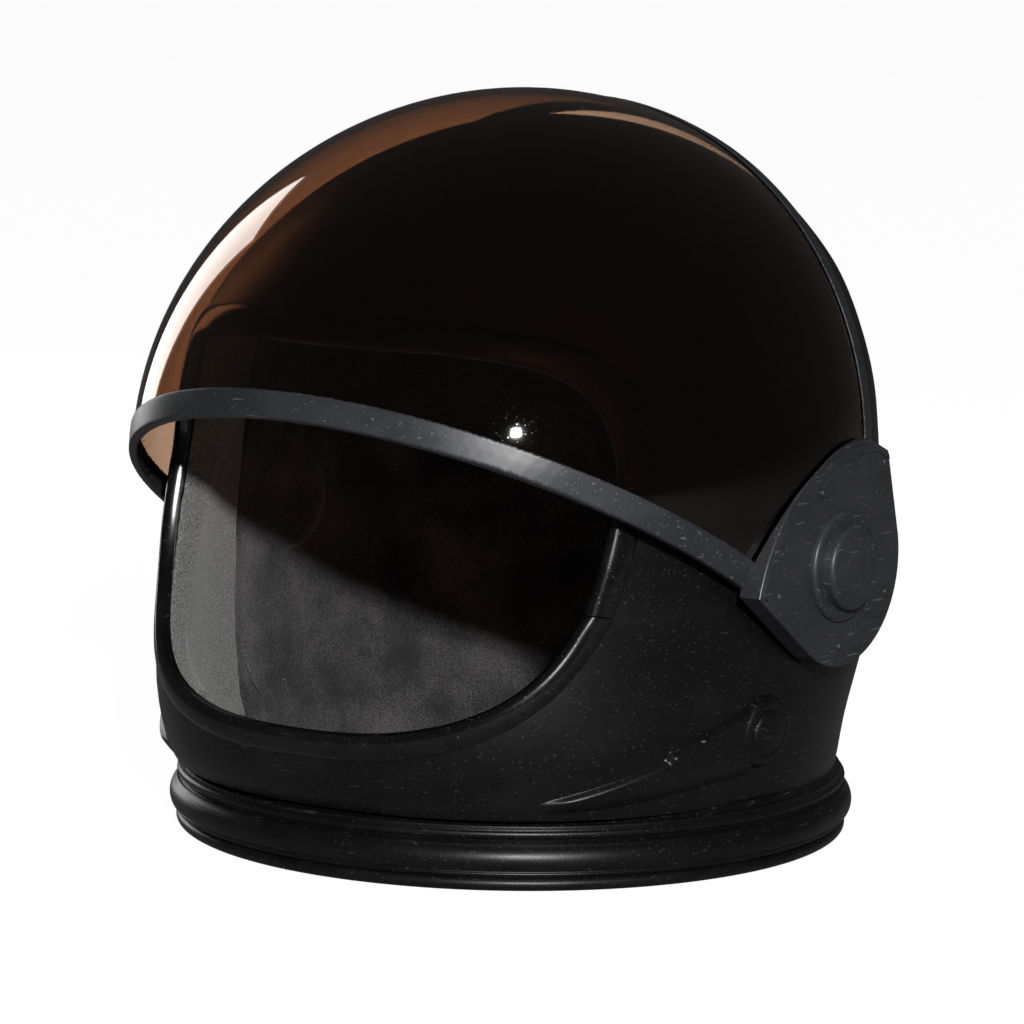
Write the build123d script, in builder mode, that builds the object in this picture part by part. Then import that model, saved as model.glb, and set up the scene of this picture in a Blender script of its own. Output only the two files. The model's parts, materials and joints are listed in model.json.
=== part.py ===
from build123d import *
import math
import os

# Space helmet with a flip-up visor, in millimetres. +Z is up, the face looks
# along -Y and the wearer's left is +X. The origin is the centre of the neck
# ring's flat foot. The visor stands where it rests when it is fully raised.

# Moulded shell
crown_height = 300.0
widest_height = 130.0
half_width = 143.5
half_length = 158.5
widest_y = 9.0
crown_y = 26.0
shell_wall = 3.0
section_exponent = 2.15
section_points = 12

# Neck ring under the shell
ring_height = 29.0
ring_foot_radius = 138.5
ring_groove_radius = 142.2
ring_bead_radius = 145.4
ring_flange_radius = 142.0
ring_neck_radius = 137.5
ring_lower_groove = 4.5
ring_upper_groove = 20.5
ring_flange_top = 25.5
ring_lip = 4.0
collar_radius = 133.0
ring_fit = 0.2

# Face opening, seen from the front, and the trim clipped on its edge
opening_half_width = 122.5
opening_foot = 50.0
opening_head = 227.0
trim_side_width = 7.0
trim_end_width = 11.0
trim_web = 1.4
trim_proud = 1.7
trim_inner_leg = 1.6
trim_fit = 0.1
trim_joint_gap = 0.8
trim_joint_height = 112.0

# Visor: an ellipsoid bubble that leans with the raised visor
visor_centre_y = -7.0
visor_centre_z = 161.2
visor_half_width = 155.0
visor_half_length = 163.5
visor_half_height = 147.5
visor_tilt = 24.5
visor_wall = 2.0
band_proud = 1.2
band_inner_leg = 0.5
band_width = 11.0
band_web = 1.2
band_fit = 0.05
lower_rim_tilt = 29.5
lower_rim_drop = 31.0
rear_rim_tilt = 93.0
rear_rim_set = 36.5
heel_tilt = 155.0
heel_set = 24.0

# Pivots beside the ears
pivot_y = 12.0
pivot_z = 124.0
boss_radius = 19.0
boss_face = 148.8
boss_seat_radius = 9.0
boss_seat = 139.0
washer_thickness = 0.8
washer_play = 0.15
washer_radius = 15.0
bush_radius = 6.0
bush_flange_radius = 9.5
bush_flange = 1.2
running_clearance = 0.06
screw_radius = 2.5
screw_fit = 0.1
screw_head_radius = 5.0
screw_head_height = 3.2
screw_socket_radius = 2.3
screw_socket_depth = 1.8
screw_end = 2.0
nut_across_flats = 8.0
nut_height = 4.0

# Ear pods that carry the visor on the pivots
pod_face = 156.5
pod_plate = 2.6
pod_rim = 3.5
pod_foot = 146.6
pod_overlap = 4.0
pod_relief = 0.1
pod_edge_radius = 1.2
pod_corner_y = -59.5
pod_corner_z = -6.6
pod_arc_y = -35.5
pod_arc_z = 30.6
pod_top_y = 21.5
pod_top_z = 50.0
pod_shoulder_y = 35.0
pod_shoulder_z = 44.0
pod_round_radius = 42.0
pod_round_y = 3.0
pod_round_start = 12.0
pod_round_end = -124.0
pod_lip_inset = 1.8
pod_lip_width = 3.4
pod_lip_height = 0.9
pod_hub_radius = 12.0
pod_ring_radius = 23.0
pod_ring_height = 2.6
pod_ring_bevel = 2.0
cap_radius = 17.6
cap_height = 7.6
cap_edge_radius = 2.0
cap_wall = 2.0
cap_fit = 0.1
rivet_places = ((31.8, 39.3), (-14.8, 31.4), (-45.2, -7.3), (34.5, -15.0), (-0.2, -33.2))
rivet_radius = 1.9
rivet_height = 1.1
rivet_shank_radius = 1.1
rivet_shank = 2.0
rivet_fit = 0.05
pit_places = ((14.9, 39.0), (-11.1, 28.6), (-39.1, 5.8))
pit_radius = 1.0
pit_depth = 0.6

# Moulded relief of a folded boom low on each cheek, from its hub
relief_y = -19.0
relief_z = 58.0
relief_hub_radius = 13.4
relief_button_radius = 8.6
relief_arm_height = 1.8
relief_hub_height = 3.0
relief_button_height = 4.4
relief_arm_places = (
    (-10.0, 10.0),
    (-35.6, 2.2),
    (-50.0, -3.7),
    (-51.0, -7.0),
    (-85.0, -19.5),
    (-49.0, -16.0),
    (-45.5, -15.0),
    (-11.0, -12.0),
)
relief_pip_places = ((-35.6, 0.2), (-49.0, -5.4))
relief_pip_radius = 1.6
relief_pip_height = 3.0

# Foam lining
pad_gap = 0.3
pad_thickness = 8.0
cheek_pad_foot = 42.0
cheek_pad_head = 206.0
cheek_pad_rear = -31.0
liner_thickness = 7.0
liner_front = -27.0
liner_foot = 42.0
liner_head = 214.0
crown_pad_foot = 252.0
crown_pad_thickness = 12.0

# Cuts run this far past what they cut
overrun = 60.0

# Sections of the shell below its widest level: shares of the drop to the foot,
# of the half width, of the half length and of the widest section's place.
lower_drop_shares = (1.0, 0.87, 0.72, 0.55, 0.29)
lower_width_shares = (0.951, 0.967, 0.983, 0.995, 1.0)
lower_length_shares = (0.872, 0.909, 0.934, 0.963, 0.988)
lower_place_shares = (-0.39, -0.60, -0.55, -0.15, 0.56)
# Sections above it: shares of the rise to the crown, of the half width, of the
# half length and of the way back to the crown's place.
upper_rise_shares = (0.0, 0.176, 0.341, 0.488, 0.612, 0.718, 0.812, 0.894, 0.956, 0.989)
upper_width_shares = (1.0, 0.974, 0.955, 0.905, 0.838, 0.745, 0.632, 0.488, 0.318, 0.160)
upper_length_shares = (1.0, 1.0, 0.978, 0.931, 0.858, 0.760, 0.647, 0.502, 0.328, 0.165)
upper_place_shares = (0.0, 0.06, 0.08, 0.16, 0.33, 0.53, 0.73, 0.88, 0.97, 1.0)
# How much of a rivet head's height its rounded edge takes.
dome_share = 0.8
# The opening's right half from foot to head: shares of its half width and height.
opening_width_shares = (0.48, 0.80, 0.955, 1.0, 0.985, 0.86, 0.56)
opening_height_shares = (0.025, 0.13, 0.33, 0.56, 0.77, 0.925, 0.99)


def oval_points(width, length, middle_y):
    """Points of a level section: an oval with slightly full corners."""
    power = 2.0 / section_exponent
    points = []
    for step in range(section_points):
        turn = 2.0 * math.pi * step / section_points
        across = math.copysign(abs(math.cos(turn)) ** power, math.cos(turn))
        along = math.copysign(abs(math.sin(turn)) ** power, math.sin(turn))
        points.append((width * across, middle_y + length * along))
    return points


def level_section(height, width, length, middle_y):
    with BuildSketch(Plane.XY.offset(height)) as section:
        with BuildLine():
            Spline(*oval_points(width, length, middle_y), periodic=True)
        make_face()
    return section.sketch


def helmet_form(growth):
    """The helmet's outer form as a solid on the neck ring, grown outwards by growth."""
    width = half_width + growth
    length = half_length + growth
    drop = widest_height - ring_height
    rise = crown_height + growth - widest_height
    sections = []
    for down, wide, deep, place in zip(
        lower_drop_shares, lower_width_shares, lower_length_shares, lower_place_shares
    ):
        height = widest_height - drop * down
        sections.append(
            level_section(height, width * wide, length * deep, widest_y * place)
        )
    for up, wide, deep, place in zip(
        upper_rise_shares, upper_width_shares, upper_length_shares, upper_place_shares
    ):
        height = widest_height + rise * up
        middle = widest_y + (crown_y - widest_y) * place
        sections.append(level_section(height, width * wide, length * deep, middle))
    sections.append(Vertex(0, crown_y, crown_height + growth))
    with BuildPart() as form:
        loft(sections=sections)
    return form.part


def opening_prism(side_inset, end_inset):
    """The opening's outline, drawn in at its sides and ends, run through the face."""
    width = opening_half_width - side_inset
    foot = opening_foot + end_inset
    head = opening_head - end_inset
    right_half = [
        (width * across, foot + (head - foot) * up)
        for across, up in zip(opening_width_shares, opening_height_shares)
    ]
    with BuildPart() as prism:
        with BuildSketch(Plane.XZ):
            with BuildLine():
                Spline((0, foot), *right_half, (0, head), tangents=[(1, 0), (-1, 0)])
                mirror(about=Plane.YZ)
            make_face()
        extrude(amount=half_length + overrun)
    return prism.part


def visor_form(growth):
    """The visor's bubble as a solid, grown outwards by growth."""
    with BuildPart() as bubble:
        Sphere(radius=1, rotation=(0, 0, 90))
        scale(
            by=(
                visor_half_width + growth,
                visor_half_length + growth,
                visor_half_height + growth,
            )
        )
    place = Pos(0, visor_centre_y, visor_centre_z) * Rot(visor_tilt, 0, 0)
    return place * bubble.part


def visor_layer(outer, inner):
    """The bubble's layer between two growths, open over the pods and at the heel."""
    with BuildPart() as layer:
        add(visor_form(outer))
        add(visor_form(inner), mode=Mode.SUBTRACT)
        add(pod_prism(pod_overlap, -pod_face, pod_face), mode=Mode.SUBTRACT)
        split(bisect_by=rim_plane(heel_tilt, heel_set), keep=Keep.BOTTOM)
    return layer.part


def rim_plane(tilt, distance):
    """A plane along X, distance from the pivot line, its normal tilted from +Z."""
    turn = math.radians(tilt)
    normal = Vector(0, math.sin(turn), math.cos(turn))
    origin = Vector(0, pivot_y, pivot_z) + normal * distance
    return Plane(origin=origin, x_dir=(1, 0, 0), z_dir=normal)


def ear_plane(distance):
    """The plane beside the wearer's left ear that faces out, on the pivot line."""
    return Plane(origin=(distance, pivot_y, pivot_z), x_dir=(0, 1, 0), z_dir=(1, 0, 0))


def pod_outline(inset):
    """The pod's outline about the pivot: a round with a long corner in front."""
    corner = (pod_corner_y, pod_corner_z)
    arc_middle = (pod_arc_y, pod_arc_z)
    top = (pod_top_y, pod_top_z)
    shoulder = (pod_shoulder_y, pod_shoulder_z)
    with BuildSketch() as outline:
        with BuildLine():
            front_top = ThreePointArc(corner, arc_middle, top)
            round_end = CenterArc(
                (pod_round_y, 0),
                pod_round_radius,
                pod_round_start,
                pod_round_end - pod_round_start,
            )
            Polyline(top, shoulder, round_end @ 0)
            Line(round_end @ 1, corner)
        make_face()
        if inset:
            offset(amount=-inset, kind=Kind.INTERSECTION)
    return outline.sketch


def pod_prism(inset, start, end):
    """The pod's outline, drawn in, as a prism between two distances along X."""
    with BuildPart() as prism:
        with BuildSketch(ear_plane(start)):
            add(pod_outline(inset))
        extrude(amount=end - start)
    return prism.part


def raised(profile, height):
    """A side-view profile on the left cheek, raised by height over the shell."""
    with BuildPart() as layer:
        with BuildSketch(relief_plane):
            add(profile)
        extrude(amount=half_width)
        add(helmet_form(height), mode=Mode.INTERSECT)
    return layer.part


def other_side(piece):
    """The same piece beside the other ear."""
    return mirror(piece, about=Plane.YZ)


os.makedirs("parts", exist_ok=True)

# Boom relief moulded on the left cheek: hub, button, arm and two pips
relief_plane = Plane(
    origin=(half_width / 2, relief_y, relief_z), x_dir=(0, 1, 0), z_dir=(1, 0, 0)
)
with BuildSketch() as hub_profile:
    Circle(relief_hub_radius)
with BuildSketch() as button_profile:
    Circle(relief_button_radius)
with BuildSketch() as arm_profile:
    with BuildLine():
        Polyline(*relief_arm_places, close=True)
    make_face()
with BuildSketch() as pip_profile:
    with Locations(*relief_pip_places):
        Circle(relief_pip_radius)
with BuildPart() as relief:
    add(raised(hub_profile.sketch, relief_hub_height))
    add(raised(button_profile.sketch, relief_button_height))
    add(raised(arm_profile.sketch, relief_arm_height))
    add(raised(pip_profile.sketch, relief_pip_height))

# Pivot boss of the left ear: a round seat outside and a small one for the nut
with BuildPart() as boss:
    with BuildSketch(ear_plane(boss_seat)):
        Circle(boss_seat_radius)
    extrude(amount=boss_face - boss_seat)
    with BuildSketch(ear_plane(half_width - shell_wall)):
        Circle(boss_radius)
    extrude(amount=boss_face - half_width + shell_wall)

# Cavity of the shell, which leaves the two bosses standing in it
with BuildPart() as cavity:
    add(helmet_form(-shell_wall))
    split(bisect_by=Plane.XY.offset(ring_height + shell_wall), keep=Keep.TOP)
    add([boss.part, other_side(boss.part)], mode=Mode.SUBTRACT)

# What is cut through the shell: neck, face opening and screw bores
with BuildPart() as shell_cuts:
    with BuildSketch(Plane.XY.offset(ring_lip)):
        Circle(collar_radius - shell_wall)
    extrude(amount=ring_height + shell_wall - ring_lip)
    add(opening_prism(trim_side_width - trim_web, trim_end_width - trim_web))
    with BuildSketch(ear_plane(-boss_face)):
        Circle(screw_radius + screw_fit)
    extrude(amount=2 * boss_face)

# Shell: the moulded head, its collar, pivot bosses and cheek reliefs
with BuildPart() as shell:
    with BuildSketch(Plane.XY.offset(ring_lip)):
        Circle(collar_radius)
    extrude(amount=ring_height + shell_wall - ring_lip)
    add([boss.part, other_side(boss.part), relief.part, other_side(relief.part)])
    add(helmet_form(0))
    add([cavity.part, shell_cuts.part], mode=Mode.SUBTRACT)
shell.part.label = "shell"
export_step(shell.part, "parts/shell.step")

# Neck ring: lower bead, middle bead and flange, with a lip under the collar
with BuildPart() as neck_ring:
    with BuildSketch(Plane.XZ):
        with BuildLine():
            Polyline(
                (ring_foot_radius, 0),
                (collar_radius - shell_wall, 0),
                (collar_radius - shell_wall, ring_lip),
                (collar_radius + ring_fit, ring_lip),
                (collar_radius + ring_fit, ring_height),
                (ring_neck_radius, ring_height),
            )
            RadiusArc(
                (ring_neck_radius, ring_height),
                (ring_flange_radius, ring_flange_top),
                ring_height - ring_flange_top + ring_lip,
            )
            Line(
                (ring_flange_radius, ring_flange_top),
                (ring_flange_radius, ring_upper_groove),
            )
            ThreePointArc(
                (ring_flange_radius, ring_upper_groove),
                (ring_bead_radius, (ring_upper_groove + ring_lower_groove) / 2),
                (ring_groove_radius, ring_lower_groove),
            )
            Line((ring_groove_radius, ring_lower_groove), (ring_foot_radius, 0))
        make_face()
    revolve(axis=Axis.Z)
neck_ring.part.label = "neck_ring"
export_step(neck_ring.part, "parts/neck_ring.step")

# Face trim: a channel that grips the opening's edge, with one butt joint
with BuildPart() as trim_seat:
    add(helmet_form(trim_fit))
    add(
        [
            helmet_form(-shell_wall - trim_fit),
            opening_prism(trim_side_width - trim_web, trim_end_width - trim_web),
        ],
        mode=Mode.SUBTRACT,
    )
with BuildPart() as face_trim:
    add(opening_prism(0, 0))
    add(opening_prism(trim_side_width, trim_end_width), mode=Mode.SUBTRACT)
    add(helmet_form(trim_proud), mode=Mode.INTERSECT)
    add(helmet_form(-shell_wall - trim_inner_leg), mode=Mode.SUBTRACT)
    add(trim_seat.part, mode=Mode.SUBTRACT)
    with BuildSketch(Plane.YZ.offset(opening_half_width / 2)):
        with Locations((-half_length / 2, trim_joint_height)):
            Rectangle(half_length, trim_joint_gap)
    extrude(amount=half_width, mode=Mode.SUBTRACT)
face_trim.part.label = "face_trim"
export_step(face_trim.part, "parts/face_trim.step")

# Cheek pads: foam sheets from the opening's edge back along each cheek
with BuildPart() as cheek_pad_left:
    with BuildSketch(Plane.YZ.offset(opening_half_width / 2)):
        with Locations((cheek_pad_rear, (cheek_pad_foot + cheek_pad_head) / 2)):
            Rectangle(
                half_length,
                cheek_pad_head - cheek_pad_foot,
                align=(Align.MAX, Align.CENTER),
            )
    extrude(amount=half_width)
    add(opening_prism(trim_side_width, trim_end_width), mode=Mode.SUBTRACT)
    add(
        helmet_form(-shell_wall - trim_inner_leg - pad_gap),
        mode=Mode.INTERSECT,
    )
    add(
        helmet_form(-shell_wall - trim_inner_leg - pad_gap - pad_thickness),
        mode=Mode.SUBTRACT,
    )
cheek_pad_left.part.label = "cheek_pad_left"
export_step(cheek_pad_left.part, "parts/cheek_pad_left.step")
with BuildPart() as cheek_pad_right:
    add(other_side(cheek_pad_left.part))
cheek_pad_right.part.label = "cheek_pad_right"
export_step(cheek_pad_right.part, "parts/cheek_pad_right.step")

# Rear liner: one plush-covered wrap round the back of the head
with BuildPart() as rear_liner:
    with BuildSketch(Plane.YZ.offset(-half_width)):
        with Locations((liner_front, (liner_foot + liner_head) / 2)):
            Rectangle(
                2 * half_length,
                liner_head - liner_foot,
                align=(Align.MIN, Align.CENTER),
            )
    extrude(amount=2 * half_width)
    add(helmet_form(-shell_wall - pad_gap), mode=Mode.INTERSECT)
    add(
        helmet_form(-shell_wall - pad_gap - liner_thickness),
        mode=Mode.SUBTRACT,
    )
    with BuildSketch(ear_plane(-boss_face)):
        Circle(boss_radius + pad_gap)
    extrude(amount=2 * boss_face, mode=Mode.SUBTRACT)
rear_liner.part.label = "rear_liner"
export_step(rear_liner.part, "parts/rear_liner.step")

# Crown pad: the foam cap that sits on the wearer's head
with BuildPart() as crown_pad:
    add(helmet_form(-shell_wall - pad_gap))
    add(
        helmet_form(-shell_wall - pad_gap - crown_pad_thickness),
        mode=Mode.SUBTRACT,
    )
    split(bisect_by=Plane.XY.offset(crown_pad_foot), keep=Keep.TOP)
crown_pad.part.label = "crown_pad"
export_step(crown_pad.part, "parts/crown_pad.step")

# Visor: the smoked bubble between its two rims
with BuildPart() as visor:
    add(visor_layer(0, -visor_wall))
    split(bisect_by=rim_plane(lower_rim_tilt, band_web - lower_rim_drop), keep=Keep.TOP)
    split(bisect_by=rim_plane(rear_rim_tilt, rear_rim_set - band_web), keep=Keep.BOTTOM)
visor.part.label = "visor"
export_step(visor.part, "parts/visor.step")

# Rim bands: channels pressed on the visor's lower and rear edges
band_layer = visor_layer(band_proud, -visor_wall - band_inner_leg)
seat_layer = visor_layer(band_fit, -visor_wall - band_fit)
with BuildPart() as lower_seat:
    add(seat_layer)
    split(bisect_by=rim_plane(lower_rim_tilt, band_web - lower_rim_drop), keep=Keep.TOP)
with BuildPart() as visor_lower_band:
    add(band_layer)
    split(bisect_by=rim_plane(lower_rim_tilt, -lower_rim_drop), keep=Keep.TOP)
    split(bisect_by=rim_plane(lower_rim_tilt, band_width - lower_rim_drop), keep=Keep.BOTTOM)
    split(bisect_by=rim_plane(rear_rim_tilt, 0), keep=Keep.BOTTOM)
    add(lower_seat.part, mode=Mode.SUBTRACT)
visor_lower_band.part.label = "visor_lower_band"
export_step(visor_lower_band.part, "parts/visor_lower_band.step")
with BuildPart() as rear_seat:
    add(seat_layer)
    split(bisect_by=rim_plane(rear_rim_tilt, rear_rim_set - band_web), keep=Keep.BOTTOM)
with BuildPart() as visor_rear_band:
    add(band_layer)
    split(bisect_by=rim_plane(rear_rim_tilt, rear_rim_set), keep=Keep.BOTTOM)
    split(bisect_by=rim_plane(rear_rim_tilt, rear_rim_set - band_width), keep=Keep.TOP)
    split(bisect_by=rim_plane(lower_rim_tilt, 0), keep=Keep.TOP)
    add(rear_seat.part, mode=Mode.SUBTRACT)
visor_rear_band.part.label = "visor_rear_band"
export_step(visor_rear_band.part, "parts/visor_rear_band.step")

# Room in the pods for the two rim bands, which stand proud of the visor
with BuildPart() as lower_band_room:
    add(visor_form(band_proud + pod_relief))
    split(bisect_by=rim_plane(lower_rim_tilt, -lower_rim_drop - pod_relief), keep=Keep.TOP)
    split(
        bisect_by=rim_plane(lower_rim_tilt, band_width - lower_rim_drop + pod_relief),
        keep=Keep.BOTTOM,
    )
with BuildPart() as rear_band_room:
    add(visor_form(band_proud + pod_relief))
    split(bisect_by=rim_plane(rear_rim_tilt, rear_rim_set + pod_relief), keep=Keep.BOTTOM)
    split(
        bisect_by=rim_plane(rear_rim_tilt, rear_rim_set - band_width - pod_relief),
        keep=Keep.TOP,
    )

# Ear pod: plate, rim wall resting on the visor, hub, raised ring and edge lip
hub_foot = boss_face + washer_thickness + washer_play
with BuildPart() as pod_left:
    add(pod_prism(0, pod_foot, pod_face))
    face_edges = pod_left.faces().sort_by(Axis.X)[-1].edges()
    fillet(face_edges, radius=pod_edge_radius)
    with BuildSketch(ear_plane(pod_face - pod_edge_radius)):
        add(pod_outline(pod_lip_inset))
        with Locations((pod_lip_width, -pod_lip_width)):
            add(pod_outline(pod_lip_inset), mode=Mode.SUBTRACT)
    extrude(amount=pod_edge_radius + pod_lip_height)
    with BuildSketch(ear_plane(pod_face)):
        Circle(pod_ring_radius)
    extrude(amount=pod_ring_height)
    ring_edge = pod_left.edges().filter_by(GeomType.CIRCLE).sort_by(Axis.X)[-1]
    fillet(ring_edge, radius=pod_ring_bevel)
    add(pod_prism(pod_rim, pod_foot, pod_face - pod_plate), mode=Mode.SUBTRACT)
    add(visor_form(pod_relief), mode=Mode.SUBTRACT)
    add([lower_band_room.part, rear_band_room.part], mode=Mode.SUBTRACT)
    with BuildSketch(ear_plane(hub_foot)):
        Circle(pod_hub_radius)
    extrude(amount=pod_face - hub_foot)
    with BuildSketch(ear_plane(pod_face)):
        Circle(cap_radius + cap_fit)
    extrude(amount=pod_ring_height, mode=Mode.SUBTRACT)
    with BuildSketch(ear_plane(hub_foot)):
        Circle(bush_radius + running_clearance)
    extrude(amount=pod_face - hub_foot, mode=Mode.SUBTRACT)
    with BuildSketch(ear_plane(pod_face - rivet_shank)):
        with Locations(*rivet_places):
            Circle(rivet_shank_radius + rivet_fit)
    extrude(amount=rivet_shank, mode=Mode.SUBTRACT)
    with BuildSketch(ear_plane(pod_face - pit_depth)):
        with Locations(*pit_places):
            Circle(pit_radius)
    extrude(amount=pit_depth, mode=Mode.SUBTRACT)
pod_left.part.label = "pod_left"
export_step(pod_left.part, "parts/pod_left.step")
with BuildPart() as pod_right:
    add(other_side(pod_left.part))
pod_right.part.label = "pod_right"
export_step(pod_right.part, "parts/pod_right.step")

# Pivot cap: a cup that covers the screw head inside the pod's ring
with BuildPart() as pivot_cap_left:
    with BuildSketch(ear_plane(pod_face)):
        Circle(cap_radius)
    extrude(amount=cap_height)
    fillet(pivot_cap_left.edges().sort_by(Axis.X)[-1], radius=cap_edge_radius)
    with BuildSketch(ear_plane(pod_face)):
        Circle(cap_radius - cap_wall)
    extrude(amount=cap_height - cap_wall, mode=Mode.SUBTRACT)
pivot_cap_left.part.label = "pivot_cap_left"
export_step(pivot_cap_left.part, "parts/pivot_cap_left.step")
with BuildPart() as pivot_cap_right:
    add(other_side(pivot_cap_left.part))
pivot_cap_right.part.label = "pivot_cap_right"
export_step(pivot_cap_right.part, "parts/pivot_cap_right.step")

# Pod rivets: domed heads with short shanks, five to a pod
with BuildPart() as pod_rivets_left:
    with BuildSketch(ear_plane(pod_face - rivet_shank)):
        with Locations(*rivet_places):
            Circle(rivet_shank_radius)
    extrude(amount=rivet_shank)
    with BuildSketch(ear_plane(pod_face)):
        with Locations(*rivet_places):
            Circle(rivet_radius)
    extrude(amount=rivet_height)
    dome_edges = pod_rivets_left.edges().group_by(Axis.X)[-1]
    fillet(dome_edges, radius=rivet_height * dome_share)
pod_rivets_left.part.label = "pod_rivets_left"
export_step(pod_rivets_left.part, "parts/pod_rivets_left.step")
with BuildPart() as pod_rivets_right:
    add(other_side(pod_rivets_left.part))
pod_rivets_right.part.label = "pod_rivets_right"
export_step(pod_rivets_right.part, "parts/pod_rivets_right.step")

# Friction washer: the disc between the shell's boss and the pod's hub
with BuildPart() as friction_washer_left:
    with BuildSketch(ear_plane(boss_face)):
        Circle(washer_radius)
        Circle(bush_radius + running_clearance, mode=Mode.SUBTRACT)
    extrude(amount=washer_thickness)
friction_washer_left.part.label = "friction_washer_left"
export_step(friction_washer_left.part, "parts/friction_washer_left.step")
with BuildPart() as friction_washer_right:
    add(other_side(friction_washer_left.part))
friction_washer_right.part.label = "friction_washer_right"
export_step(friction_washer_right.part, "parts/friction_washer_right.step")

# Pivot bush: the flanged sleeve, clamped to the boss, that the pod turns on
flange_seat = pod_face + washer_play
with BuildPart() as pivot_bush_left:
    with BuildSketch(ear_plane(boss_face)):
        Circle(bush_radius)
    extrude(amount=flange_seat + bush_flange - boss_face)
    with BuildSketch(ear_plane(flange_seat)):
        Circle(bush_flange_radius)
    extrude(amount=bush_flange)
    with BuildSketch(ear_plane(boss_face)):
        Circle(screw_radius + screw_fit)
    extrude(amount=flange_seat + bush_flange - boss_face, mode=Mode.SUBTRACT)
pivot_bush_left.part.label = "pivot_bush_left"
export_step(pivot_bush_left.part, "parts/pivot_bush_left.step")
with BuildPart() as pivot_bush_right:
    add(other_side(pivot_bush_left.part))
pivot_bush_right.part.label = "pivot_bush_right"
export_step(pivot_bush_right.part, "parts/pivot_bush_right.step")

# Pivot screw: a hex-socket screw from the bush's flange to the nut inside
screw_seat = flange_seat + bush_flange
screw_tip = boss_seat - nut_height - screw_end
with BuildPart() as pivot_screw_left:
    with BuildSketch(ear_plane(screw_tip)):
        Circle(screw_radius)
    extrude(amount=screw_seat - screw_tip)
    with BuildSketch(ear_plane(screw_seat)):
        Circle(screw_head_radius)
    extrude(amount=screw_head_height)
    head_edge = pivot_screw_left.edges().sort_by(Axis.X)[-1]
    fillet(head_edge, radius=screw_head_height / 4)
    with BuildSketch(ear_plane(screw_seat + screw_head_height - screw_socket_depth)):
        RegularPolygon(radius=screw_socket_radius, side_count=6)
    extrude(amount=screw_socket_depth, mode=Mode.SUBTRACT)
pivot_screw_left.part.label = "pivot_screw_left"
export_step(pivot_screw_left.part, "parts/pivot_screw_left.step")
with BuildPart() as pivot_screw_right:
    add(other_side(pivot_screw_left.part))
pivot_screw_right.part.label = "pivot_screw_right"
export_step(pivot_screw_right.part, "parts/pivot_screw_right.step")

# Pivot nut: a hexagon nut on the boss's small seat inside the shell
with BuildPart() as pivot_nut_left:
    with BuildSketch(ear_plane(boss_seat - nut_height)):
        RegularPolygon(radius=nut_across_flats / 2, side_count=6, major_radius=False)
        Circle(screw_radius + screw_fit, mode=Mode.SUBTRACT)
    extrude(amount=nut_height)
pivot_nut_left.part.label = "pivot_nut_left"
export_step(pivot_nut_left.part, "parts/pivot_nut_left.step")
with BuildPart() as pivot_nut_right:
    add(other_side(pivot_nut_left.part))
pivot_nut_right.part.label = "pivot_nut_right"
export_step(pivot_nut_right.part, "parts/pivot_nut_right.step")
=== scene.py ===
# %% [markdown]
# # A space helmet with a flip-up visor
# The helmet is a round black plastic shell on a stepped neck ring. A smoked
# bubble visor hangs on a pod over each ear, and foam and plush line the inside.
# The hard pieces are finished in CAD, so this script loads them as a fixed
# frame and gives them their surface. The clear visor and everything soft are
# modelled here again, because they need smooth curvature and rounded edges.

# %% Load the CAD frame
import json
import math

import bmesh
import bpy
import numpy as np
from mathutils import Matrix, Vector
from mathutils.bvhtree import BVHTree


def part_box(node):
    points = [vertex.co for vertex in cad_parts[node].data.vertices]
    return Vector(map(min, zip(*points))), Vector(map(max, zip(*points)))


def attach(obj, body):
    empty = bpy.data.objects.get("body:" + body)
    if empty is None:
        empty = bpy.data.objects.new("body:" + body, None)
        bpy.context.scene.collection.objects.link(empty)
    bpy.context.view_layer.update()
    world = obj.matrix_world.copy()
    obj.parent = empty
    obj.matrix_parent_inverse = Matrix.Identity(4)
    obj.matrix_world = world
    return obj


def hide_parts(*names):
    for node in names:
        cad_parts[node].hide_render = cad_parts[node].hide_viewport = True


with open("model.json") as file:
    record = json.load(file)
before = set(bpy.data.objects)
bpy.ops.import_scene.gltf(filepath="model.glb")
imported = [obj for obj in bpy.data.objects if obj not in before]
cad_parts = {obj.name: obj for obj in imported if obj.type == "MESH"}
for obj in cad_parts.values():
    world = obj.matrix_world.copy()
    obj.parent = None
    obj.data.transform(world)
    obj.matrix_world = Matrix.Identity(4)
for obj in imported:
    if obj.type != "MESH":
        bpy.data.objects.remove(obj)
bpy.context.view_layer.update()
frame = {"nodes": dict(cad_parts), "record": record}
MM = 0.001
print("CAD nodes:", len(frame["nodes"]))

# %% [markdown]
# ## The camera
# The picture was taken from a little above, with the helmet turned so that its
# left ear shows. A long lens two metres away keeps the ring's ellipse as flat
# as it is there. The camera's own axes are worked out from three angles, and
# the small shift puts the helmet where it stands in the frame.

# %% Place the camera
CAMERA_TURN = math.radians(36.24)
CAMERA_RISE = math.radians(7.87)
CAMERA_ROLL = math.radians(0.79)
CAMERA_DISTANCE = 2000 * MM
CAMERA_TARGET = Vector((0, 0, 150 * MM))

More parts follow.
